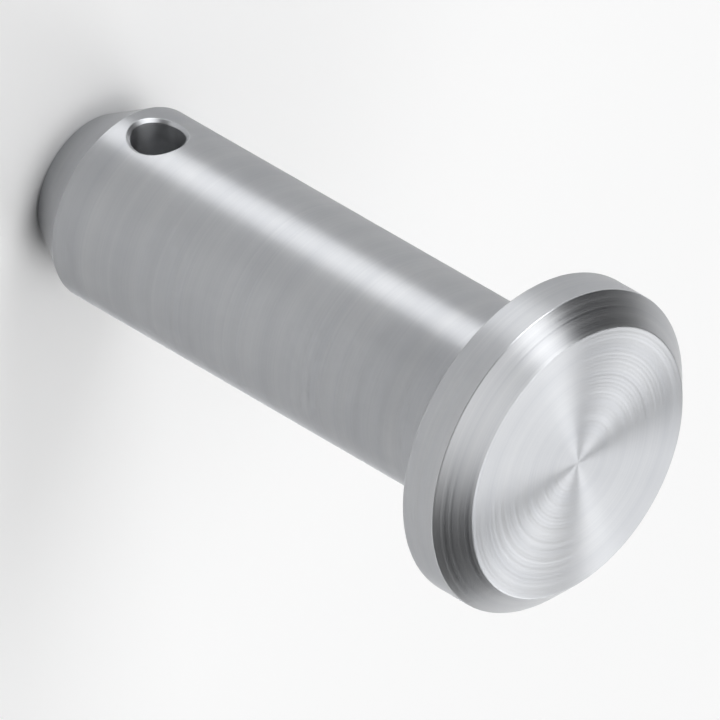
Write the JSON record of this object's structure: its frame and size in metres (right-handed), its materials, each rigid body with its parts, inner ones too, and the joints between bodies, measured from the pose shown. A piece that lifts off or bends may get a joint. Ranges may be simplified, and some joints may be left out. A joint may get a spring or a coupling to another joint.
{
  "type": "clevis pin",
  "caption": "Turned steel pin with a flat chamfered head, a tapered point and a cross hole for a split pin, which joins a clevis to a rod end or lever.",
  "frame": {"origin": "centre of the head's underside, the face that seats against the clevis", "axes": "+Z along the pin's axis, from the point to the head; the split pin's hole runs along Y"},
  "size_m": [0.02, 0.02, 0.039],
  "materials": {
    "bright_steel": "satin"
  },
  "bodies": {
    "root": {"clevis_pin": "bright_steel"}
  },
  "joints": []
}
